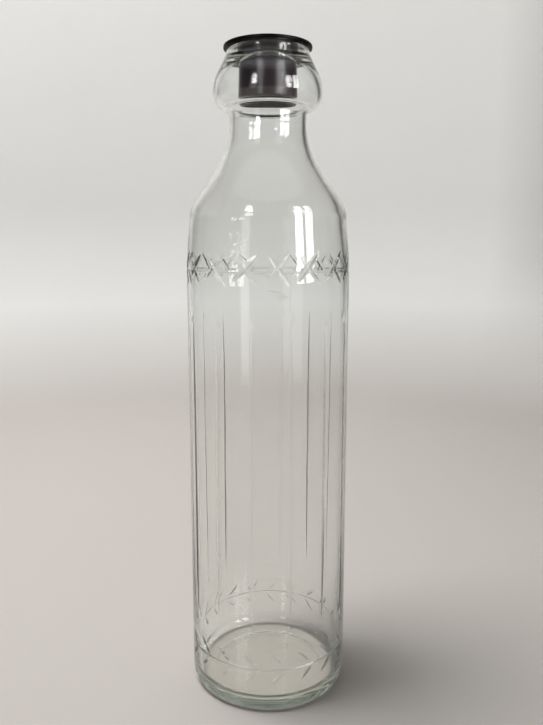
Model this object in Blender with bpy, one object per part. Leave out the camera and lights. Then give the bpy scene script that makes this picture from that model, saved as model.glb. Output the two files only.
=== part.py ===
"""Glass oil bottle: one piece of wheel-cut glass with a drip bulb round its mouth, and a push-in stopper.

Metres, +Z up. The bottle stands on z = 0 with its axis on Z.
"""

import math

import bmesh
import bpy
from mathutils import Matrix, Vector

# Outside of the glass, from the foot upwards
BODY_RADIUS = 0.0375
HEEL_WIDTH = 0.003
HEEL_HEIGHT = 0.0055
SIDE_HEIGHT = 0.197  # the straight side, measured from the table
CORNER_RADIUS = 0.0356  # where the side turns over into the shoulder
CORNER_RISE = 0.0278  # from the straight side to that corner
SHOULDER_RISE = 0.039  # from the corner to the straight neck
NECK_RADIUS = 0.01755
NECK_LENGTH = 0.0042
BULB_RADIUS = 0.0244
BULB_UNDER = 0.0077  # radius of the bulb's rounded underside
BULB_FILLET = 0.0025  # radius of the hollow curve from the neck into that underside
BULB_RISE = 0.0164  # from the widest part of the bulb to the lip
LIP_RADIUS = 0.0185
LIP_HEIGHT = 0.0021
LIP_ROUND = 0.0012

# How each curve of the outline leaves its lower end and reaches its upper one: shares of its rise,
# outwards and upwards
TAPER_ENDS = ((0, 0.5), (-0.02, 0.33))
SHOULDER_ENDS = ((-0.01, 0.224), (0, 0.46))
BULB_ENDS = ((0, 0.35), (-0.243, 0.5))
BULB_HOLLOW_ENDS = ((0, 0.4), (-0.27, 0.3))

# Inside of the glass
BODY_WALL = 0.0025
NECK_WALL = 0.0021  # of the neck and the bulb
CORNER_LEAN = 0.6  # how far the wall's inner corner lies below the outer one, as a share of the wall
FLOOR_HEIGHT = 0.004
FLOOR_FILLET = 0.0055
BORE_RADIUS = 0.0134
BORE_DEPTH = 0.0056
COLLAR_ROUND = 0.0005  # of the bore's lower end, a small collar that hangs into the bulb
CHANNEL_OUT = 0.0018  # from the bore's wall to the middle of the channel round that collar
CHANNEL_RISE = 0.0008  # from the collar's end to the middle of the channel's rounding
PUNT_RADIUS = 0.027  # the hollow under the foot, which leaves a flat resting ring
PUNT_DEPTH = 0.001

# Cuts in the outside of the body. Each pattern has its first place as degrees round from the front.
CROSS_LINE_HEIGHT = 0.003  # of the line through the crosses, above the straight side
LINE_WIDTH = 0.0008
LINE_DEPTH = 0.0003
CROSSES = 17
CROSSES_FROM = 4.0
RISING_STROKE = ((-0.0035, -0.0037), (0.0069, 0.0082))  # across and up from the cross's middle
FALLING_STROKE = ((-0.0036, 0.0073), (0.0070, -0.0060))
CROSS_CUT = (0.0011, 0.0004)  # width, depth
UPRIGHTS = 14
UPRIGHTS_FROM = 15.2
UPRIGHTS_UNDER_CROSSES = 0.0217  # from the line through the crosses to the tops of the long cuts
UPRIGHTS_OVER_TWIG = 0.018  # from the twig to their lower ends
UPRIGHT_CUT = (0.0021, 0.0007)
TWIG_HEIGHT = 0.0214
LEAF_PAIRS = 19
LEAVES_FROM = -7.6
LEAF_STAGGER = 0.0010  # from an upper leaf's root round to the lower one's
LEAF_LENGTH = 0.0092
LEAF_TILT = math.radians(43)  # of a leaf from the twig
LEAF_GAP = 0.0006  # between a leaf's root and the twig
LEAF_CUT = (0.0012, 0.0004)

# Stopper
BRIM_RADIUS = 0.0197
BRIM_THICKNESS = 0.0015
BRIM_ROUND = 0.0004
PLUG_LENGTH = 0.022
PLUG_WALL = 0.0015
PLUG_ROUND = 0.0012
PLUG_CLEARANCE = 0.0003  # all round, between the plug and the bore
SEAT_CLEARANCE = 0.0003  # between the lip and the brim

SEGMENTS = 56
CURVE_STEPS = 4


def curve(low, high, ends, steps):
    """Points along a cubic curve from its lower end to its upper one, both included."""
    leaving, reaching = (Vector(share) * (high[1] - low[1]) for share in ends)
    low, high = Vector(low), Vector(high)
    corners = (low, low + leaving, high - reaching, high)
    points = []
    for i in range(steps + 1):
        t = i / steps
        weights = ((1 - t) ** 3, 3 * t * (1 - t) ** 2, 3 * t * t * (1 - t), t**3)
        points.append(tuple(sum((w * c for w, c in zip(weights, corners)), Vector((0, 0)))))
    return points


def arc(centre, half_width, half_height, from_degrees, to_degrees, steps):
    """Points along part of an ellipse, both ends included."""
    points = []
    for i in range(steps + 1):
        angle = math.radians(from_degrees + (to_degrees - from_degrees) * i / steps)
        across = half_width * math.cos(angle)
        points.append((centre[0] + across, centre[1] + half_height * math.sin(angle)))
    return points


def notch(radius, height):
    """A line cut round the body, as three points of its outline."""
    half = LINE_WIDTH / 2
    return [(radius, height - half), (radius - LINE_DEPTH, height), (radius, height + half)]


def corner_height():
    return SIDE_HEIGHT + CORNER_RISE


def neck_height():
    return corner_height() + SHOULDER_RISE


def underside_turn():
    """The angle from level of the line between the middles of the bulb's fillet and its underside."""
    across = NECK_RADIUS + BULB_FILLET - BULB_RADIUS + BULB_UNDER
    return math.acos(across / (BULB_UNDER + BULB_FILLET))


def fillet_height():
    """Of the straight neck's top, where the fillet under the bulb starts."""
    return neck_height() + NECK_LENGTH


def bulb_height():
    """Of the bulb's widest part."""
    return fillet_height() + (BULB_UNDER + BULB_FILLET) * math.sin(underside_turn())


def lip_top():
    return bulb_height() + BULB_RISE + LIP_HEIGHT


def cross_line():
    return SIDE_HEIGHT + CROSS_LINE_HEIGHT


def side_and_shoulder(inset):
    """The outline from the straight side to the neck. Inset is (body, neck) glass left outside it."""
    body, neck = inset
    side = (BODY_RADIUS - body, SIDE_HEIGHT)
    corner = (CORNER_RADIUS - body, corner_height() - CORNER_LEAN * body)
    foot = (NECK_RADIUS - neck, neck_height())
    taper = curve(side, corner, TAPER_ENDS, CURVE_STEPS - 1)
    return taper + curve(corner, foot, SHOULDER_ENDS, CURVE_STEPS + 3)[1:]


def underside(inset):
    """The outline from the straight neck to the bulb's widest part. Inset is the glass left outside it."""
    down = math.degrees(underside_turn())
    hollow = BULB_FILLET + inset
    under = BULB_UNDER - inset
    points = arc((NECK_RADIUS + BULB_FILLET, fillet_height()), hollow, hollow, 180, 180 - down, 2)
    middle = (BULB_RADIUS - BULB_UNDER, bulb_height())
    return points + arc(middle, under, under, -down, 0, CURVE_STEPS)[1:]


def outside():
    """The outer outline, from the middle of the foot up to the lip's flat top."""
    rest = BODY_RADIUS - HEEL_WIDTH
    points = arc((0, 0), PUNT_RADIUS, PUNT_DEPTH, 90, 0, 2)
    points += arc((rest, HEEL_HEIGHT), HEEL_WIDTH, HEEL_HEIGHT, -90, 0, CURVE_STEPS - 1)
    points += notch(BODY_RADIUS, TWIG_HEIGHT)
    wall = side_and_shoulder((0, 0))
    line = cross_line()
    below = [point for point in wall if point[1] < line - LINE_WIDTH]
    above = [point for point in wall if point[1] > line + LINE_WIDTH]
    points += below + notch(radius_at(wall, line), line) + above
    widest = bulb_height()
    points += underside(0)
    lip = widest + BULB_RISE
    points += curve((BULB_RADIUS, widest), (LIP_RADIUS, lip), BULB_ENDS, CURVE_STEPS)[1:]
    points += arc((LIP_RADIUS - LIP_ROUND, lip_top() - LIP_ROUND), LIP_ROUND, LIP_ROUND, 0, 90, 2)
    return points


def inside():
    """The inner outline, from the bore's rounded edge down to the middle of the floor."""
    edge = LIP_ROUND / 2
    points = arc((BORE_RADIUS + edge, lip_top() - edge), edge, edge, 90, 180, 1)
    low = lip_top() - BORE_DEPTH
    collar = (BORE_RADIUS + COLLAR_ROUND, low + COLLAR_ROUND)
    points += arc(collar, COLLAR_ROUND, COLLAR_ROUND, 180, 315, 3)
    channel = (BORE_RADIUS + CHANNEL_OUT, low + CHANNEL_RISE)
    points += arc(channel, COLLAR_ROUND, COLLAR_ROUND, 135, 45, 2)
    widest = (BULB_RADIUS - NECK_WALL, bulb_height())
    points += list(reversed(curve(widest, points[-1], BULB_HOLLOW_ENDS, CURVE_STEPS)))[1:]
    points += list(reversed(underside(NECK_WALL)))[1:]
    points += reversed(side_and_shoulder((BODY_WALL, NECK_WALL)))
    fillet = (BODY_RADIUS - BODY_WALL - FLOOR_FILLET, FLOOR_HEIGHT + FLOOR_FILLET)
    points += arc(fillet, FLOOR_FILLET, FLOOR_FILLET, 0, -90, CURVE_STEPS - 1)
    points += [(0, FLOOR_HEIGHT)]
    return points


def radius_at(outline, height):
    """The outline's radius at a height, between the two points that hold it."""
    for low, high in zip(outline, outline[1:]):
        if low[1] <= height <= high[1] and high[1] > low[1]:
            share = (height - low[1]) / (high[1] - low[1])
            return low[0] + share * (high[0] - low[0])
    return outline[0][0]


def principled(name, colour, roughness, metallic=0.0, transmission=0.0, ior=1.5):
    material = bpy.data.materials.new(name)
    material.use_nodes = True
    shader = material.node_tree.nodes["Principled BSDF"]
    shader.inputs["Base Color"].default_value = (*colour, 1)
    shader.inputs["Roughness"].default_value = roughness
    shader.inputs["Metallic"].default_value = metallic
    shader.inputs["Transmission Weight"].default_value = transmission
    shader.inputs["IOR"].default_value = ior
    return material


def add_object(name, mesh, material=None):
    obj = bpy.data.objects.new(name, mesh)
    bpy.context.scene.collection.objects.link(obj)
    if material:
        mesh.materials.append(material)
    return obj


def turned(name, outline):
    """A mesh spun round Z from an outline of (radius, height) points that starts and ends on the axis."""
    shape = bmesh.new()
    verts = [shape.verts.new((radius, 0, height)) for radius, height in outline]
    edges = [shape.edges.new(pair) for pair in zip(verts, verts[1:])]
    spin = {"cent": (0, 0, 0), "axis": (0, 0, 1), "angle": math.tau, "steps": SEGMENTS}
    bmesh.ops.spin(shape, geom=verts + edges, use_merge=True, **spin)
    bmesh.ops.remove_doubles(shape, verts=shape.verts, dist=1e-6)
    bmesh.ops.recalc_face_normals(shape, faces=shape.faces)
    mesh = bpy.data.meshes.new(name)
    shape.to_mesh(mesh)
    shape.free()
    mesh.shade_smooth()
    mesh.set_sharp_from_angle(angle=math.radians(30))
    return mesh


def add_groove(shape, path, cut):
    """One V groove's cutter in a bmesh, along (turn, radius, level) points, pointed at both ends."""
    width, depth = cut
    proud = depth / 2
    places = [Matrix.Rotation(turn, 3, "Z") @ Vector((radius, 0, level)) for turn, radius, level in path]
    rings = []
    for i, (turn, _, _) in enumerate(path):
        out = Matrix.Rotation(turn, 3, "Z") @ Vector((1, 0, 0))
        ahead = (places[min(i + 1, len(places) - 1)] - places[max(i - 1, 0)]).normalized()
        side = out.cross(ahead)
        swell = math.sin(math.pi * i / (len(path) - 1)) ** 0.5
        if i in (0, len(path) - 1):
            rings.append([shape.verts.new(places[i] + out * proud)])
            continue
        half = side * (width / 2) * swell * (1 + proud / depth)
        top = places[i] + out * proud
        rings.append([shape.verts.new(top - half), shape.verts.new(top + half)])
        rings[-1].append(shape.verts.new(places[i] - out * depth * swell))
    for near, far in zip(rings, rings[1:]):
        for i in range(3):
            corners = [near[i % len(near)], near[(i + 1) % len(near)]]
            corners += [far[(i + 1) % len(far)], far[i % len(far)]]
            shape.faces.new(list(dict.fromkeys(corners)))


def cutter(name, paths, cut):
    """A hidden object that holds a set of grooves, none of which crosses another."""
    shape = bmesh.new()
    for path in paths:
        add_groove(shape, path, cut)
    bmesh.ops.recalc_face_normals(shape, faces=shape.faces)
    mesh = bpy.data.meshes.new(name)
    shape.to_mesh(mesh)
    shape.free()
    obj = add_object(name, mesh)
    obj.hide_render = True
    obj.display_type = "WIRE"
    return obj


def stroke(turn, height, across, up, wall, steps=2):
    """The path of a straight cut on the wall, which runs so far across and up from where it starts."""
    path = []
    for i in range(steps + 1):
        share = i / steps
        level = height + up * share
        path.append((turn + across * share / BODY_RADIUS, radius_at(wall, level), level))
    return path


def cut_into(obj, tool):
    modifier = obj.modifiers.new(tool.name, "BOOLEAN")
    modifier.operation = "DIFFERENCE"
    modifier.solver = "EXACT"
    modifier.object = tool


def turns(count, first):
    """A pattern's places round the axis, from its first one in degrees round from the front."""
    start = math.radians(first - 90)
    return [start + math.tau * i / count for i in range(count)]


def upright_paths(wall):
    low = TWIG_HEIGHT + UPRIGHTS_OVER_TWIG
    high = cross_line() - UPRIGHTS_UNDER_CROSSES
    return [stroke(turn, low, 0, high - low, wall, steps=4) for turn in turns(UPRIGHTS, UPRIGHTS_FROM)]


def cross_paths(wall, ends):
    (across, up), (far_across, far_up) = ends
    paths = []
    for turn in turns(CROSSES, CROSSES_FROM):
        foot = turn + across / BODY_RADIUS
        paths.append(stroke(foot, cross_line() + up, far_across - across, far_up - up, wall))
    return paths


def leaf_paths(wall):
    """Pairs of leaves, one above the twig and one below it, all leaning the same way."""
    paths = []
    across = -LEAF_LENGTH * math.cos(LEAF_TILT)
    up = LEAF_LENGTH * math.sin(LEAF_TILT)
    root = LINE_WIDTH / 2 + LEAF_GAP
    for turn in turns(LEAF_PAIRS, LEAVES_FROM):
        paths.append(stroke(turn, TWIG_HEIGHT + root, across, up, wall))
        paths.append(stroke(turn + LEAF_STAGGER / BODY_RADIUS, TWIG_HEIGHT - root, across, -up, wall))
    return paths


def make_bottle():
    glass = principled("clear glass", (0.9, 0.94, 0.92), 0.03, transmission=1.0)
    bottle = add_object("bottle", turned("bottle", outside() + inside()), glass)
    side = side_and_shoulder((0, 0))
    wall = [(BODY_RADIUS, HEEL_HEIGHT)] + side
    cut_into(bottle, cutter("upright_cuts", upright_paths(wall), UPRIGHT_CUT))
    cut_into(bottle, cutter("rising_strokes", cross_paths(wall, RISING_STROKE), CROSS_CUT))
    cut_into(bottle, cutter("falling_strokes", cross_paths(wall, FALLING_STROKE), CROSS_CUT))
    cut_into(bottle, cutter("leaf_cuts", leaf_paths(wall), LEAF_CUT))
    return bottle


def stopper_outline():
    """A flat brim over a hollow plug open underneath, from the hollow's roof round to the flat top."""
    plug = BORE_RADIUS - PLUG_CLEARANCE
    hollow = plug - PLUG_WALL
    brim = BRIM_THICKNESS
    points = [(0, 0), (hollow, 0), (hollow, -PLUG_LENGTH)]
    points += arc((plug - PLUG_ROUND, PLUG_ROUND - PLUG_LENGTH), PLUG_ROUND, PLUG_ROUND, -90, 0, 3)
    points += [(plug, 0)]
    points += arc((BRIM_RADIUS - BRIM_ROUND, BRIM_ROUND), BRIM_ROUND, BRIM_ROUND, -90, 0, 2)
    points += arc((BRIM_RADIUS - BRIM_ROUND, brim - BRIM_ROUND), BRIM_ROUND, BRIM_ROUND, 0, 90, 2)
    points += [(0, brim)]
    return points


def make_stopper():
    plastic = principled("black plastic", (0.012, 0.009, 0.012), 0.32)
    stopper = add_object("stopper", turned("stopper", stopper_outline()), plastic)
    stopper.location = (0, 0, lip_top() + SEAT_CLEARANCE)
    return stopper


def main():
    for obj in list(bpy.data.objects):
        bpy.data.objects.remove(obj)
    make_bottle()
    make_stopper()


main()
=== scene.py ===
import math
import random

import bpy
import numpy as np
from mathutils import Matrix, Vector


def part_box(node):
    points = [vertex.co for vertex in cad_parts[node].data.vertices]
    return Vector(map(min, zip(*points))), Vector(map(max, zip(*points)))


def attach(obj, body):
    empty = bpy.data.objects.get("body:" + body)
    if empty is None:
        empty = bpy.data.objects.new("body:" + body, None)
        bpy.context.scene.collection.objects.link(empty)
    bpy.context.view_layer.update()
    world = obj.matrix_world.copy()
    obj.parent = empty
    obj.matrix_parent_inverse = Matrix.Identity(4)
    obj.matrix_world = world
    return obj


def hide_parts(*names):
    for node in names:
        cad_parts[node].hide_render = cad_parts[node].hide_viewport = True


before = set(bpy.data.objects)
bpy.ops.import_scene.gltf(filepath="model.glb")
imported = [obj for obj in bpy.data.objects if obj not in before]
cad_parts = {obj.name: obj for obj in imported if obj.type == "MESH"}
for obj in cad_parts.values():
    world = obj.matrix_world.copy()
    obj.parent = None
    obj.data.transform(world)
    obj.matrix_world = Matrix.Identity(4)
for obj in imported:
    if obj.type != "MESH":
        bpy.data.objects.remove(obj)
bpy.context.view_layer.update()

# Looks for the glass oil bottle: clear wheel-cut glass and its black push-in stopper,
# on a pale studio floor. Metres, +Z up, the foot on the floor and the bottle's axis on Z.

random.seed(7)


# a socket that does sums
class Wire:
    def __init__(self, tree, socket):
        self.tree = tree
        self.socket = socket

    def sum(self, operation, *values):
        return self.tree.node("ShaderNodeMath", {"operation": operation}, dict(enumerate(values)))

    def __add__(self, other):
        return self.sum("ADD", self, other)

    def __radd__(self, other):
        return self.sum("ADD", other, self)

    def __sub__(self, other):
        return self.sum("SUBTRACT", self, other)

    def __rsub__(self, other):
        return self.sum("SUBTRACT", other, self)

    def __mul__(self, other):
        return self.sum("MULTIPLY", self, other)

    def __truediv__(self, other):
        return self.sum("DIVIDE", self, other)

    def __pow__(self, other):
        return self.sum("POWER", self, other)

    def clamped(self):
        return self.sum("MINIMUM", self.sum("MAXIMUM", self, 0.0), 1.0)


class Shader:
    def __init__(self, name):
        self.material = bpy.data.materials.new(name)
        self.material.use_nodes = True
        self.nodes = self.material.node_tree.nodes
        self.links = self.material.node_tree.links
        self.nodes.clear()

    # kind of node, its settings, then its sockets by name or number: a Wire is linked, a value is set
    def node(self, kind, settings=None, sockets=None, out=0):
        made = self.nodes.new(kind)
        for key, value in (settings or {}).items():
            if key == "stops":
                self.setStops(made.color_ramp, value)
            else:
                setattr(made, key, value)
        for key, value in (sockets or {}).items():
            socket = self.find(made.inputs, key)
            if isinstance(value, Wire):
                self.links.new(value.socket, socket)
            else:
                socket.default_value = value
        return Wire(self, self.find(made.outputs, out)) if made.outputs else None

    def find(self, sockets, key):
        if isinstance(key, int):
            return sockets[key]
        return next(s for s in sockets if s.enabled and key in (s.name, s.identifier))

    def setStops(self, ramp, stops):
        while len(ramp.elements) < len(stops):
            ramp.elements.new(0.5)
        for element, (place, grey) in zip(ramp.elements, stops):
            element.position = place
            element.color = (grey, grey, grey, 1)

    def noise(self, place, scale, detail=3.0, roughness=0.5, distortion=0.0):
        sockets = {"Vector": place, "Scale": scale, "Detail": detail, "Roughness": roughness}
        return self.node("ShaderNodeTexNoise", {}, sockets | {"Distortion": distortion}, "Fac")

    def ramp(self, value, *stops):
        return self.node("ShaderNodeValToRGB", {"stops": stops}, {"Fac": value}, "Color")

    def mix(self, share, first, second):
        sockets = {"Factor": share, "A": first, "B": second}
        return self.node("ShaderNodeMix", {"data_type": "RGBA"}, sockets, "Result")

    def stretched(self, place, scale):
        settings = {"operation": "MULTIPLY"}
        return self.node("ShaderNodeVectorMath", settings, {0: place, 1: scale}, "Vector")

    def bump(self, height, distance, strength=1.0, normal=None):
        sockets = {"Height": height, "Distance": distance, "Strength": strength}
        if normal:
            sockets["Normal"] = normal
        return self.node("ShaderNodeBump", {}, sockets, "Normal")

    def finish(self, surface, volume=None):
        sockets = {"Surface": surface}
        if volume:
            sockets["Volume"] = volume
        self.node("ShaderNodeOutputMaterial", {}, sockets)
        return self.material


# outlines are lists of (radius, height) points, from curves and arcs
def curve(low, high, ends, steps):
    rise = high[1] - low[1]
    leaving, reaching = (np.array(share) * rise for share in ends)
    corners = np.array([low, low + leaving, high - reaching, high])
    t = np.linspace(0, 1, steps + 1)
    weights = np.stack([(1 - t) ** 3, 3 * t * (1 - t) ** 2, 3 * t * t * (1 - t), t**3], 1)
    return [tuple(point) for point in weights @ corners]


def arc(centre, halfWidth, halfHeight, start, stop, steps):
    turn = np.radians(np.linspace(start, stop, steps + 1))
    across = centre[0] + halfWidth * np.cos(turn)
    return list(zip(across, centre[1] + halfHeight * np.sin(turn)))


# the same sizes as the solid's, with the places that depend on them worked out below
bottle = {
    "heelWidth": 0.003, "heelHeight": 0.0055, "sideHeight": 0.197,
    "cornerRadius": 0.0356, "cornerRise": 0.0278, "shoulderRise": 0.039,
    "neckRadius": 0.01755,
    "bulbRadius": 0.0244, "bulbRise": 0.0164, "bulbUnder": 0.0077, "bulbFillet": 0.0025,
    "lipRadius": 0.0185, "lipHeight": 0.0021, "lipRound": 0.0012,
    "bodyWall": 0.0025, "neckWall": 0.0021,  # the bulb's wall is the neck's
    "floorHeight": 0.004, "floorFillet": 0.0055, "floorRings": (0.024, 0.016, 0.008),
    "boreRadius": 0.0134, "boreDepth": 0.0056, "collarRound": 0.0005,
    "channelOut": 0.0018, "channelRise": 0.0008,
    "puntRadius": 0.027, "puntDepth": 0.001, "puntStop": 4, "puntEdge": (0.0006, 0.00002),
    "cornerLean": 0.6,
    "taperEnds": ((0, 0.5), (-0.02, 0.33)),
    "shoulderEnds": ((-0.01, 0.224), (0, 0.46)),
    "bulbEnds": ((0, 0.35), (-0.243, 0.5)),
    "hollowEnds": ((0, 0.4), (-0.27, 0.30)),
}
# how many steps each curve takes
curveSteps = {
    "punt": 10, "heel": 12, "outerTaper": 18, "innerTaper": 16, "shoulderMore": 6,
    "underBulb": 12, "bulb": 16, "lip": 8, "bore": 6, "floor": 10,
}
bottleLow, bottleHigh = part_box("bottle")
bottle["radius"] = (bottleHigh.x - bottleLow.x) / 2
bottle["lipTop"] = bottleHigh.z
bottle["corner"] = bottle["sideHeight"] + bottle["cornerRise"]
bottle["neckFoot"] = bottle["corner"] + bottle["shoulderRise"]
bottle["bulbMiddle"] = bottle["lipTop"] - bottle["bulbRise"] - bottle["lipHeight"]


def sideAndShoulder(body, neck, steps):
    b = bottle
    side = (b["radius"] - body, b["sideHeight"])
    corner = (b["cornerRadius"] - body, b["corner"] - b["cornerLean"] * body)
    foot = (b["neckRadius"] - neck, b["neckFoot"])
    taper = curve(side, corner, b["taperEnds"], steps)
    return taper + curve(corner, foot, b["shoulderEnds"], steps + curveSteps["shoulderMore"])[1:]


# the bulb's underside and the hollow curve that joins it to the neck, this far inside the glass
def underBulb(inset):
    b = bottle
    steps = curveSteps["underBulb"]
    under, fillet = b["bulbUnder"], b["bulbFillet"]
    centre = (b["bulbRadius"] - under, b["bulbMiddle"])
    hollow = b["neckRadius"] + fillet
    turn = math.acos((hollow - centre[0]) / (under + fillet))
    down = math.degrees(turn)
    low = (hollow, centre[1] - (under + fillet) * math.sin(turn))
    points = arc(low, fillet + inset, fillet + inset, 180, 180 - down, steps)
    return points + arc(centre, under - inset, under - inset, -down, 0, steps)[1:]


def bottleOutside():
    b = bottle
    points = arc((0, 0), b["puntRadius"], b["puntDepth"], 90, b["puntStop"], curveSteps["punt"])[1:]
    points += [(b["puntRadius"] + b["puntEdge"][0], b["puntEdge"][1])]
    rest = b["radius"] - b["heelWidth"]
    points += arc((rest, b["heelHeight"]), b["heelWidth"], b["heelHeight"], -90, 0, curveSteps["heel"])
    points += sideAndShoulder(0, 0, curveSteps["outerTaper"])
    points += underBulb(0)
    lip = (b["lipRadius"], b["bulbMiddle"] + b["bulbRise"])
    points += curve((b["bulbRadius"], b["bulbMiddle"]), lip, b["bulbEnds"], curveSteps["bulb"])[1:]
    rim = b["lipRound"]
    points += arc((b["lipRadius"] - rim, b["lipTop"] - rim), rim, rim, 0, 90, curveSteps["lip"])
    return points


def bottleInside():
    b = bottle
    steps = curveSteps["bore"]
    edge = b["lipRound"] / 2
    points = arc((b["boreRadius"] + edge, b["lipTop"] - edge), edge, edge, 90, 180, steps)
    # the collar that hangs at the bore's lower end, then the channel behind it
    collar, foot = b["collarRound"], b["lipTop"] - b["boreDepth"]
    points += arc((b["boreRadius"] + collar, foot + collar), collar, collar, 180, 315, steps)
    channel = (b["boreRadius"] + b["channelOut"], foot + b["channelRise"])
    points += arc(channel, collar, collar, 135, 45, steps)
    widest = (b["bulbRadius"] - b["neckWall"], b["bulbMiddle"])
    points += list(reversed(curve(widest, points[-1], b["hollowEnds"], curveSteps["bulb"])))[1:]
    points += list(reversed(underBulb(b["neckWall"])))[1:]
    side = sideAndShoulder(b["bodyWall"], b["neckWall"], curveSteps["innerTaper"])
    points += list(reversed(side))
    fillet = b["floorFillet"]
    corner = (b["radius"] - b["bodyWall"] - fillet, b["floorHeight"] + fillet)
    points += arc(corner, fillet, fillet, 0, -90, curveSteps["floor"])
    points += [(r, b["floorHeight"]) for r in b["floorRings"]]
    return points


# the cuts are strokes on the unrolled wall, each as its (turn, height) ends, half its width
# and how steeply its sides go in
cuts = {
    "slack": 1.0,  # how far the hand wandered, 0 for a machine
    "strokeSwell": 0.6,  # under 1 for full strokes, over 1 for thin ends
    "lineHeight": bottle["sideHeight"] + 0.003, "lineHalf": 0.0005, "lineDepth": 0.0003,
    "crosses": 17, "crossesFrom": 4.0, "crossSway": 0.0006, "crossEndSway": 0.0007, "crossHalfSway": 0.2,
    "rising": ((-0.0035, -0.0037), (0.0069, 0.0082)), "risingHalf": 0.0012,
    "falling": ((-0.0036, 0.0073), (0.0070, -0.0060)), "fallingHalf": 0.0009,
    "crossSlope": 0.72,
    "uprights": 14, "uprightsFrom": 15.2, "uprightHalf": 0.00115, "uprightSlope": 0.46,
    "underCrosses": 0.0217, "overTwig": 0.018, "uprightEndSway": 0.003, "uprightLean": 0.0006,
    "uprightHalfSway": 0.12, "uprightSwell": (1.6, 0.8), "uprightWaver": (0.08, 160),
    "uprightAcross": (-1.0, -0.5, 0.0, 0.5, 1.0), "uprightDepths": (0, 0.52, 0.96, 0.52, 0),
    "twigHeight": 0.0214, "leafPairs": 19, "leavesFrom": -7.6, "leafStagger": 0.001,
    "leafLength": 0.0092, "leafTilt": 43, "leafGap": 0.0006, "leafHalf": 0.0009, "leafSlope": 0.75,
    "leafTiltSway": 4, "leafLengthSway": 0.08, "leafRootSway": 0.0005, "leafHalfSway": 0.15,
    "lineSway": 0.00025, "lineLobes": (2, 5), "lineShare": 0.6, "lineStart": 1,
}


def wander(reach):
    return random.uniform(-reach, reach) * cuts["slack"]


def turnsOf(count, first):
    return [math.radians(first - 90) + math.tau * i / count for i in range(count)]


def crossStrokes():
    strokes = []
    sway = cuts["crossEndSway"]
    for turn in turnsOf(cuts["crosses"], cuts["crossesFrom"]):
        turn += wander(cuts["crossSway"]) / bottle["radius"]
        for kind in ("rising", "falling"):
            places = []
            for across, up in cuts[kind]:
                places.append((turn + (across + wander(sway)) / bottle["radius"],
                               cuts["lineHeight"] + up + wander(sway)))
            half = cuts[kind + "Half"] * (1 + wander(cuts["crossHalfSway"]))
            strokes.append((places, half, cuts["crossSlope"]))
    return strokes


def leafStrokes():
    strokes = []
    for turn in turnsOf(cuts["leafPairs"], cuts["leavesFrom"]):
        for side in (1, -1):
            tilt = math.radians(cuts["leafTilt"] + wander(cuts["leafTiltSway"]))
            length = cuts["leafLength"] * (1 + wander(cuts["leafLengthSway"]))
            root = turn + wander(cuts["leafRootSway"]) / bottle["radius"]
            if side < 0:
                root += cuts["leafStagger"] / bottle["radius"]
            foot = cuts["twigHeight"] + side * cuts["leafGap"]
            tip = (root - length * math.cos(tilt) / bottle["radius"], foot + side * length * math.sin(tilt))
            half = cuts["leafHalf"] * (1 + wander(cuts["leafHalfSway"]))
            strokes.append((((root, foot), tip), half, cuts["leafSlope"]))
    return strokes


def depthOf(strokes, turn, height):
    depth = np.zeros_like(turn)
    radius = bottle["radius"]
    for ((turnA, heightA), (turnB, heightB)), half, slope in strokes:
        across = ((turn - turnA + math.pi) % math.tau - math.pi) * radius
        up = height - heightA
        run = np.array([(turnB - turnA) * radius, heightB - heightA])
        length = math.hypot(*run)
        along = (across * run[0] + up * run[1]) / length**2
        aside = np.abs(across * run[1] - up * run[0]) / length
        swell = half * np.sin(np.pi * np.clip(along, 0, 1)) ** cuts["strokeSwell"]
        depth = np.maximum(depth, slope * (swell - aside))
    return depth


def lineDepth(middle, height):
    aside = np.abs(height - middle)
    return cuts["lineDepth"] * np.clip(1 - aside / cuts["lineHalf"], 0, 1)


# slow waves of the glass surface, each a few seeded sines: outer and inner say how many sines
# and how far in and out they reach together; they fade out towards the lip and, inside, the floor
ripples = {
    "outer": (6, 0.00006), "inner": (8, 0.00030),
    "lobes": (1, 5), "pitch": (15, 90), "share": (0.4, 1),
    "fade": 0.03, "boreClear": 0.004,
}


def waves(count, reach):
    return [(random.randint(*ripples["lobes"]), random.uniform(*ripples["pitch"]),
             random.uniform(0, math.tau), reach * random.uniform(*ripples["share"]) / count)
            for _ in range(count)]


def wavesAt(rows, turn, height):
    return sum(size * np.sin(lobes * turn + pitch * height + start) for lobes, pitch, start, size in rows)


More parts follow.
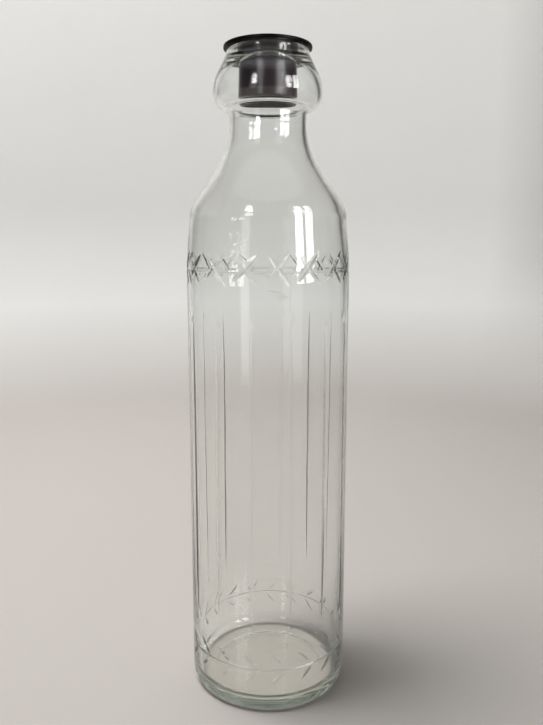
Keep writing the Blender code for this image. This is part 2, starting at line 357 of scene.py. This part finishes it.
# rings of points joined one to the next
class Skin:
    def __init__(self):
        self.points = []
        self.cut = []
        self.crease = []
        self.faces = []
        self.count = 0

    # turns rise once round; cut is how deep the ring's points lie in a cut
    def ring(self, turn, radius, height, cut=None, crease=None):
        turn = np.asarray(turn, float)
        radius = np.broadcast_to(radius, turn.shape)
        height = np.broadcast_to(height, turn.shape)
        self.points.append(np.stack([radius * np.cos(turn), radius * np.sin(turn), height], 1))
        self.cut.append(np.zeros(len(turn)) if cut is None else cut)
        self.crease.append(np.zeros(len(turn), int) if crease is None else crease)
        first = self.count
        self.count += len(turn)
        return turn, first

    # faces between two rings, which may have different numbers of points
    def stitch(self, lower, upper):
        (turnA, firstA), (turnB, firstB) = lower, upper
        sizeA, sizeB = len(turnA), len(turnB)
        if sizeA == sizeB:
            for i in range(sizeA):
                j = (i + 1) % sizeA
                self.faces.append((firstA + i, firstA + j, firstB + j, firstB + i))
            return
        i = j = 0
        while i < sizeA or j < sizeB:
            nextA = turnA[(i + 1) % sizeA] + math.tau * ((i + 1) // sizeA)
            nextB = turnB[(j + 1) % sizeB] + math.tau * ((j + 1) // sizeB)
            a, b = firstA + i % sizeA, firstB + j % sizeB
            if j >= sizeB or (i < sizeA and nextA <= nextB):
                i += 1
                self.faces.append((a, firstA + i % sizeA, b))
            else:
                j += 1
                self.faces.append((a, firstB + j % sizeB, b))

    def cap(self, ring, height, facingUp):
        turn, first = ring
        self.points.append(np.array([[0, 0, height]]))
        self.cut.append(np.zeros(1))
        self.crease.append(np.zeros(1, int))
        middle = self.count
        self.count += 1
        for i in range(len(turn)):
            corners = (first + i, first + (i + 1) % len(turn), middle)
            self.faces.append(corners if facingUp else corners[::-1])

    # plain rings along an outline, closed by a cap at its first end
    def spin(self, turn, outline, capHeight):
        below = None
        for radius, height in outline:
            ring = self.ring(turn, radius, height)
            if below:
                self.stitch(below, ring)
            else:
                self.cap(ring, capHeight, False)
            below = ring
        return below

    def build(self, name, material):
        mesh = bpy.data.meshes.new(name)
        mesh.from_pydata(np.concatenate(self.points).tolist(), [], self.faces)
        mesh.shade_smooth()
        crease = np.concatenate(self.crease)
        if crease.any():
            ends = np.empty(len(mesh.edges) * 2, int)
            mesh.edges.foreach_get("vertices", ends)
            ends = crease[ends.reshape(-1, 2)]
            sharp = (ends[:, 0] > 0) & (ends[:, 0] == ends[:, 1])
            mesh.edges.foreach_set("use_edge_sharp", sharp)
        layer = mesh.attributes.new("cut", "FLOAT", "POINT")
        layer.data.foreach_set("value", np.concatenate(self.cut).astype(np.float32))
        mesh.materials.append(material)
        obj = bpy.data.objects.new(name, mesh)
        bpy.context.scene.collection.objects.link(obj)
        return obj


detail = {
    "columns": 168,  # round the plain glass: 12 for each long cut
    "fineColumns": 640,  # round the bands of crosses and leaves
    "fineRow": 0.00037,
    "lineRow": 0.00014, "lineRows": 4,  # rows on each side of a line's middle
    "band": 0.0011,  # plain glass kept above and below the strokes
    "cutFull": 0.0002,  # a cut this deep is fully ground
    "same": 1e-6,  # heights this close count as one
    "closedHalf": 0.00006,  # half a long cut's width beyond its ends
    "heelRings": 5, "heelClear": 0.0012, "leafClear": 0.0015,
    "uprightRings": 72, "uprightClear": 0.002, "shoulderClear": 0.0015,
}


def evenTurns(count):
    return math.radians(-90) + math.tau * np.arange(count) / count


def bandRows(low, high, line):
    reach = detail["lineRows"]
    near = [line + k * detail["lineRow"] for k in range(-reach, reach + 1)]
    steps = max(1, round((near[0] - low) / detail["fineRow"]))
    below = list(np.linspace(low, near[0], steps + 1)[:-1])
    steps = max(1, round((high - near[-1]) / detail["fineRow"]))
    above = list(np.linspace(near[-1], high, steps + 1)[1:])
    return below + near + above


# one band of fine rings with its strokes and its line cut into it
def cutBand(skin, below, wall, low, high, line, strokes):
    turn = evenTurns(detail["fineColumns"])
    slow, quick = cuts["lineLobes"]
    sway = np.sin(slow * turn + cuts["lineStart"]) + cuts["lineShare"] * np.sin(quick * turn)
    sway = cuts["lineSway"] * cuts["slack"] * sway
    for row in bandRows(low, high, line):
        share = 1 - abs(row - line) / ((high - line) if row > line else (line - low))
        height = row + sway * share
        depth = np.maximum(depthOf(strokes, turn, height), lineDepth(line + sway, height))
        radius = np.interp(height, wall[:, 1], wall[:, 0])
        wavy = wavesAt(outerWaves, turn, height)
        ring = skin.ring(turn, radius + wavy - depth, height, np.clip(depth / detail["cutFull"], 0, 1))
        skin.stitch(below, ring)
        below = ring
    return below


# columns that follow the edges of the long cuts, so that these stay crisp
def uprightBand(skin, below, wall, low, high):
    grooves = []
    for turn in turnsOf(cuts["uprights"], cuts["uprightsFrom"]):
        foot = cuts["twigHeight"] + cuts["overTwig"] + wander(cuts["uprightEndSway"])
        top = cuts["lineHeight"] - cuts["underCrosses"] + wander(cuts["uprightEndSway"])
        lean = wander(cuts["uprightLean"]) / bottle["radius"]
        half = cuts["uprightHalf"] * (1 + wander(cuts["uprightHalfSway"]))
        grooves.append((turn, lean, foot, top, half, random.uniform(0, math.tau)))
    spread = np.array(cuts["uprightAcross"])
    gaps = detail["columns"] // cuts["uprights"] - len(spread)
    reach = math.pi / cuts["uprights"]
    thin = detail["closedHalf"] / bottle["radius"]
    gain, power = cuts["uprightSwell"]
    waver, pitch = cuts["uprightWaver"]
    for row in np.linspace(low, high, detail["uprightRings"]):
        turns, depths, creases = [], [], []
        for number, (turn, lean, foot, top, half, start) in enumerate(grooves):
            share = (row - foot) / (top - foot)
            inside = 0 < share < 1
            swell = min(1, (math.sin(math.pi * share) * gain) ** power) if inside else 0
            swell *= 1 + waver * cuts["slack"] * math.sin(row * pitch + start)
            middle = turn + lean * (share - 0.5)
            halfTurn = max(thin, swell * half / bottle["radius"])
            turns += list(middle + spread * halfTurn)
            depths += [cuts["uprightSlope"] * half * swell * k for k in cuts["uprightDepths"]]
            edges = [3 * number + 1, 0, 3 * number + 2, 0, 3 * number + 3]
            creases += edges if inside else [0] * len(edges)
            rest = 2 * reach - 2 * halfTurn
            turns += [middle + halfTurn + rest * (i + 1) / (gaps + 1) for i in range(gaps)]
            depths += [0] * gaps
            creases += [0] * gaps
        turns, depths = np.array(turns), np.array(depths)
        radius = np.interp(row, wall[:, 1], wall[:, 0]) + wavesAt(outerWaves, turns, row)
        mask = np.clip(depths / detail["cutFull"], 0, 1)
        ring = skin.ring(turns, radius - depths, row, mask, np.array(creases))
        skin.stitch(below, ring)
        below = ring
    return below


def bandOf(strokes):
    heights = [height for ends, _, _ in strokes for _, height in ends]
    return min(heights) - detail["band"], max(heights) + detail["band"]


# how much of the waves is left this far from an edge that has none
def calm(away):
    return min(1, max(0, away / ripples["fade"]))


def outerShare(height):
    return calm(bottle["lipTop"] - height)


def innerShare(height):
    return calm(bottle["lipTop"] - height - ripples["boreClear"]) * calm(height)


# uncut rings along an outline, with the waves in them
def wavyRings(skin, below, outline, rows, share):
    turn = evenTurns(detail["columns"])
    for radius, height in outline:
        ring = skin.ring(turn, radius + share(height) * wavesAt(rows, turn, height), height)
        skin.stitch(below, ring)
        below = ring
    return below


def makeBottle(material):
    skin = Skin()
    outer = np.array(bottleOutside())
    heel = bottle["heelHeight"]
    above = outer[:, 1] > heel - detail["same"]
    wall = outer[above]
    wall = wall[: np.argmax(wall[:, 1] >= bottle["neckFoot"])]
    leaves, crosses = leafStrokes(), crossStrokes()
    leafLow, leafHigh = bandOf(leaves)
    crossLow, crossHigh = bandOf(crosses)
    clear = detail["uprightClear"]
    low, high = heel + detail["heelClear"], leafLow - detail["leafClear"]
    heelWall = [(bottle["radius"], height) for height in np.linspace(low, high, detail["heelRings"])]
    shoulder = outer[outer[:, 1] > crossHigh + detail["shoulderClear"]]
    below = skin.spin(evenTurns(detail["columns"]), outer[~above], bottle["puntDepth"])
    below = wavyRings(skin, below, heelWall, outerWaves, outerShare)
    below = cutBand(skin, below, wall, leafLow, leafHigh, cuts["twigHeight"], leaves)
    below = uprightBand(skin, below, wall, leafHigh + clear, crossLow - clear)
    below = cutBand(skin, below, wall, crossLow, crossHigh, cuts["lineHeight"], crosses)
    below = wavyRings(skin, below, shoulder, outerWaves, outerShare)
    below = wavyRings(skin, below, bottleInside(), innerWaves, innerShare)
    skin.cap(below, bottle["floorHeight"], True)
    return skin.build("cut_glass_bottle", material)


outerWaves = waves(*ripples["outer"])
innerWaves = waves(*ripples["inner"])


# the plug is hollow and open underneath, and hangs from a flat brim
stopper = {
    "brimThickness": 0.0015, "brimRound": 0.0004, "brimRings": (0.003, 0.012, 0.006),
    "plugLength": 0.022, "plugWall": 0.0015, "plugRound": 0.0012, "plugClearance": 0.0003,
    "plugRings": (0.0012, 0.0003), "plugFillet": 0.0001, "mouthEdge": 0.0002,
    "roofRings": (0.004, 0.008), "hollowRing": 0.01,
    "columns": 128, "edgeSteps": 5, "plugSteps": 8, "sharpAngle": 50,
}


# heights from the brim's underside
def stopperOutline():
    s = stopper
    low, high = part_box("stopper")
    seat = low.z + s["plugLength"]
    plug = bottle["boreRadius"] - s["plugClearance"]
    hollow = plug - s["plugWall"]
    brim, edge, rim = s["brimThickness"], s["brimRound"], (high.x - low.x) / 2
    inBrim, middle, centre = s["brimRings"]
    tip, steps = s["plugRound"], s["edgeSteps"]
    points = [(r, 0.0) for r in s["roofRings"]]
    points += arc((hollow - edge, -edge), edge, edge, 90, 0, steps)
    points += [(hollow, -s["hollowRing"]), (hollow, s["mouthEdge"] - s["plugLength"])]
    points += arc((plug - tip, tip - s["plugLength"]), tip, tip, -90, 0, s["plugSteps"])
    points += [(plug, -down) for down in s["plugRings"]]
    points += [(plug + s["plugFillet"], 0), (rim - inBrim, 0)]
    points += arc((rim - edge, edge), edge, edge, -90, 0, steps)
    points += arc((rim - edge, brim - edge), edge, edge, 0, 90, steps)
    points += [(r, brim) for r in (rim - inBrim, middle, centre)]
    return [(r, seat + z) for r, z in points]


def makeStopper(material):
    skin = Skin()
    outline = stopperOutline()
    last = skin.spin(evenTurns(stopper["columns"]), outline, outline[0][1])
    skin.cap(last, outline[-1][1], True)
    obj = skin.build("push_in_stopper", material)
    obj.data.set_sharp_from_angle(angle=math.radians(stopper["sharpAngle"]))
    return obj


# the finishes: a noise is its scale, detail, roughness and distortion, a range its two stops,
# and a bump its depth and strength
glass = {
    "colour": (0.998, 0.999, 0.998, 1), "aged": (0.985, 0.992, 0.988, 1), "ageNoise": (9, 2, 0.5),
    "ior": 1.5, "absorb": (0.62, 0.66, 0.60, 1), "density": 32.0,
    "clean": 0.0, "smear": 0.05, "ground": 0.22,  # roughness, of clean, handled and cut glass
    "smearNoise": (28, 4, 0.55, 0.6), "smearRange": ((0.48, 0), (0.78, 1)),
    "rippleStretch": (1, 1, 0.35), "rippleNoise": (45, 1.0, 0.4), "rippleBump": (0.0004, 0.35),
    "grainNoise": (2600, 2.0, 0.5), "grainBump": (0.00004, 0.6),
}


def clearGlass():
    s = Shader("clear_glass")
    place = s.node("ShaderNodeTexCoord", {}, {}, "Object")
    cut = s.node("ShaderNodeAttribute", {"attribute_name": "cut"}, {}, "Fac")
    smears = s.ramp(s.noise(place, *glass["smearNoise"]), *glass["smearRange"])
    roughness = glass["clean"] + smears * glass["smear"] * (1 - cut) + cut * glass["ground"]
    ripple = s.noise(s.stretched(place, glass["rippleStretch"]), *glass["rippleNoise"])
    grain = s.noise(place, *glass["grainNoise"]) * cut
    normal = s.bump(grain, *glass["grainBump"], s.bump(ripple, *glass["rippleBump"]))
    tint = s.mix(s.noise(place, *glass["ageNoise"]), glass["colour"], glass["aged"])
    surface = s.node("ShaderNodeBsdfPrincipled", {}, {
        "Base Color": tint, "Roughness": roughness, "Normal": normal,
        "IOR": glass["ior"], "Transmission Weight": 1.0,
    })
    thickness = {"Color": glass["absorb"], "Density": glass["density"]}
    return s.finish(surface, s.node("ShaderNodeVolumeAbsorption", {}, thickness))


# the plug has a satin skin over its aubergine black, and the brim is plain black: both are one plastic, so
# the plug's aubergine is painted light and the brim's plainer black is painted shade
plastic = {
    "litPlugBlack": (0.011, 0.002, 0.007, 1), "wornLitPlug": (0.030, 0.009, 0.020, 1),
    "brim": (0.002, 0.0015, 0.002, 1), "brimEdge": 4000, "ior": 1.5,
    "smooth": 0.34, "dull": 0.46, "scuffed": 0.08, "gloss": 0.08, "skin": 1.0, "skinDull": 0.33,
    "cloudNoise": (120, 4, 0.6, 0.3), "cloudWear": 0.5,
    "scuffStretch": (1, 1, 0.12), "scuffNoise": (900, 2, 0.6), "scuffRange": ((0.6, 0), (0.74, 1)),
    "scuffWear": 0.35, "pitNoise": (700, 3, 0.6), "scuffDepth": -0.5, "pitBump": (0.00003, 0.5),
}


def blackPlastic():
    s = Shader("black_plastic")
    p = plastic
    place = s.node("ShaderNodeTexCoord", {}, {}, "Object")
    cloud = s.noise(place, *p["cloudNoise"])
    scuffs = s.ramp(s.noise(s.stretched(place, p["scuffStretch"]), *p["scuffNoise"]), *p["scuffRange"])
    roughness = p["smooth"] + cloud * (p["dull"] - p["smooth"]) + scuffs * p["scuffed"]
    up = s.node("ShaderNodeSeparateXYZ", {}, {"Vector": place}, "Z")
    below = ((bottle["lipTop"] - up) * p["brimEdge"]).clamped()
    wear = (cloud * p["cloudWear"] + scuffs * p["scuffWear"]).clamped()
    # painted light and shade: the brim gets a darker black as painted shade, the plug a lighter aubergine
    # as painted light, with wear mixed in on the plug
    colour = s.mix(below, p["brim"], s.mix(wear, p["litPlugBlack"], p["wornLitPlug"]))
    height = s.noise(place, *p["pitNoise"]) + scuffs * p["scuffDepth"]
    surface = s.node("ShaderNodeBsdfPrincipled", {}, {
        "Base Color": colour, "Roughness": roughness.clamped(), "Normal": s.bump(height, *p["pitBump"]),
        "IOR": p["ior"], "Specular IOR Level": p["gloss"],
        "Coat Weight": below * p["skin"], "Coat Roughness": p["skinDull"],
    })
    return s.finish(surface)


# a round floor that bends up into a wall, pale behind the bottle and dark at the sides and in front, with a
# faint glow under the foot;
# the dark sides and front are painted shade standing in for an unlit room round the bottle, and the glow is
# painted light standing in for the light that the glass lets through onto the floor
studio = {
    "floor": (0.52, 0.487, 0.45, 1), "wall": (0.82, 0.815, 0.795, 1), "wallFrom": 0.12,
    # shade is the colour of the painted shade; paleWay is where the pale part faces, turned a little left
    # so the right side is painted darker
    "shade": (0.08, 0.076, 0.074, 1), "paleWay": (-0.087, 0.996), "middleSoft": 0.001,
    "shadeFrom": 0.88, "shadeSoft": 0.2, "shadeFoot": 0.03, "shadeRise": 0.16,
    "paintedLightGlow": (0.34, 0.31, 0.27, 1), "glowRadius": 0.0358, "glowEdge": 300, "glowStrength": 1.0,
    "cloudNoise": (6, 4, 0.6), "cloudGrey": (0.4, 0.4, 0.4, 1), "cloudShare": 0.08,
    "roughness": 0.75, "cloudRough": 0.1, "paintNoise": (300, 3), "paintBump": (0.0002, 0.4),
    "floorRings": (0.05, 0.2, 0.4), "floorRadius": 0.62, "bend": 0.28, "wallHeight": 1.5,
    "drop": 0.0002, "columns": 128, "bendSteps": 16,
    "world": (0.95, 0.97, 1.0, 1), "worldStrength": 0.6,
}


def paleGround():
    s = Shader("pale_ground")
    place = s.node("ShaderNodeTexCoord", {}, {}, "Object")
    across, back, height = (s.node("ShaderNodeSeparateXYZ", {}, {"Vector": place}, axis) for axis in "XYZ")
    pale = s.mix((height / studio["wallFrom"]).clamped(), studio["floor"], studio["wall"])
    square = across * across + back * back
    acrossWay, backWay = studio["paleWay"]
    facing = (back * backWay + across * acrossWay) / (square + studio["middleSoft"]) ** 0.5
    # painted shade: away from the pale way, and above the floor, the ground is coloured dark
    aside = ((studio["shadeFrom"] - facing) / studio["shadeSoft"]).clamped()
    raised = ((height - studio["shadeFoot"]) / studio["shadeRise"]).clamped()
    colour = s.mix(aside * raised, pale, studio["shade"])
    cloud = s.noise(place, *studio["cloudNoise"])
    # painted light: a faint pool of light emitted by the ground under the foot, standing in for the light
    # let through the glass
    under = ((studio["glowRadius"] - square ** 0.5) * studio["glowEdge"]).clamped()
    paint = s.noise(place, *studio["paintNoise"])
    surface = s.node("ShaderNodeBsdfPrincipled", {}, {
        "Emission Color": s.mix(under, (0, 0, 0, 1), studio["paintedLightGlow"]),
        "Emission Strength": studio["glowStrength"],
        "Base Color": s.mix(cloud * studio["cloudShare"], colour, studio["cloudGrey"]),
        "Roughness": studio["roughness"] + cloud * studio["cloudRough"],
        "Normal": s.bump(paint, *studio["paintBump"]),
    })
    return s.finish(surface)


def makeStudio():
    skin = Skin()
    edge = studio["floorRadius"]
    bend = studio["bend"]
    outline = [(r, 0.0) for r in studio["floorRings"]]
    outline += arc((edge, bend), bend, bend, -90, 0, studio["bendSteps"])
    outline += [(edge + bend, studio["wallHeight"])]
    outline = [(r, height - studio["drop"]) for r, height in outline]
    skin.spin(evenTurns(studio["columns"]), outline, -studio["drop"])
    ground = skin.build("studio_ground", paleGround())
    ground.data.flip_normals()
    world = bpy.data.worlds.new("soft_light")
    world.use_nodes = True
    shade = world.node_tree.nodes["Background"]
    shade.inputs["Color"].default_value = studio["world"]
    shade.inputs["Strength"].default_value = studio["worldStrength"]
    bpy.context.scene.world = world


# turn is degrees round from the front towards the right, rise is (lowest, highest) degrees,
# and gaps are shares of a pane's width, between columns and between rows
windowAway, windowHeight = 0.72, 0.2
windows = {
    "left": {
        "turn": -28, "width": 10, "rise": (15, 37), "panes": (1, 2), "gaps": (0, 0.3), "shine": 14,
    },
    "right": {
        "turn": 52, "width": 26, "rise": (-3, 34), "panes": (2, 2), "gaps": (0.36, 0.1), "shine": 12,
    },
    "left_sheet": {"turn": -31, "width": 12, "rise": (-14, 44), "shine": 0.9},
    "right_sheet": {"turn": 40, "width": 16, "rise": (-14, 44), "shine": 0.7},
}


# one soft light for each pane, seen in the gloss of the glass and the plastic but not by the camera
def makeWindow(name, window):
    low, high = (math.tan(math.radians(angle)) * windowAway for angle in window["rise"])
    turn = math.radians(window["turn"] - 90)
    out = Vector((math.cos(turn), math.sin(turn), 0))
    side = Vector((-out.y, out.x, 0))
    wide = 2 * windowAway * math.tan(math.radians(window["width"] / 2))
    columns, rows = window.get("panes", (1, 1))
    gap, gapUp = (share * wide / columns for share in window.get("gaps", (0, 0)))
    size = ((wide + gap) / columns - gap, (high - low + gapUp) / rows - gapUp)
    for column in range(columns):
        for row in range(rows):
            data = bpy.data.lights.new(name, "AREA")
            data.shape = "RECTANGLE"
            data.size, data.size_y = size
            data.energy = window["shine"] * math.pi * size[0] * size[1]
            light = bpy.data.objects.new(name, data)
            across = (column - (columns - 1) / 2) * (size[0] + gap)
            up = low + size[1] / 2 + row * (size[1] + gapUp)
            light.location = out * windowAway + side * across + Vector((0, 0, windowHeight + up))
            light.rotation_euler = (-out).to_track_quat("-Z", "Y").to_euler()
            light.visible_camera = False
            light.visible_diffuse = False
            bpy.context.scene.collection.objects.link(light)


# the main soft light, high on the left and aimed just behind the bottle
softbox = {"place": (-0.45, 0.05, 1.15), "aim": (0, 0.1, 0.1), "size": 0.7, "power": 14.5}


def makeSoftbox():
    data = bpy.data.lights.new("softbox", "AREA")
    data.size = softbox["size"]
    data.energy = softbox["power"]
    light = bpy.data.objects.new("softbox", data)
    light.location = softbox["place"]
    aim = Vector(softbox["aim"]) - light.location
    light.rotation_euler = aim.to_track_quat("-Z", "Y").to_euler()
    light.visible_camera = False
    light.visible_glossy = False
    light.visible_transmission = False
    bpy.context.scene.collection.objects.link(light)


view = {"lens": 35.22, "sensor": 36, "place": (0.0016, -0.332, 0.2102), "tilt": 80.782}


def makeCamera():
    data = bpy.data.cameras.new("camera")
    data.lens = view["lens"]
    data.sensor_width = view["sensor"]
    camera = bpy.data.objects.new("camera", data)
    camera.location = view["place"]
    camera.rotation_euler = (math.radians(view["tilt"]), 0, 0)
    bpy.context.scene.collection.objects.link(camera)
    bpy.context.scene.camera = camera


# thick glass needs many bounces, or its edges and its heel go black
bounces = {"glass": 28, "diffuse": 4}


def setLight():
    scene = bpy.context.scene
    scene.view_settings.view_transform = "Standard"
    scene.cycles.max_bounces = bounces["glass"]
    scene.cycles.transmission_bounces = bounces["glass"]
    scene.cycles.glossy_bounces = bounces["glass"]
    scene.cycles.diffuse_bounces = bounces["diffuse"]


makeCamera()
makeStudio()
for name, window in windows.items():
    makeWindow("window_" + name, window)
makeSoftbox()
setLight()
print("studio ready")

glassBottle = makeBottle(clearGlass())
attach(glassBottle, "bottle")
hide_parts("bottle")
print("bottle:", len(glassBottle.data.polygons), "faces")

plug = makeStopper(blackPlastic())
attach(plug, "stopper")
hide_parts("stopper")
print("stopper:", len(plug.data.polygons), "faces")
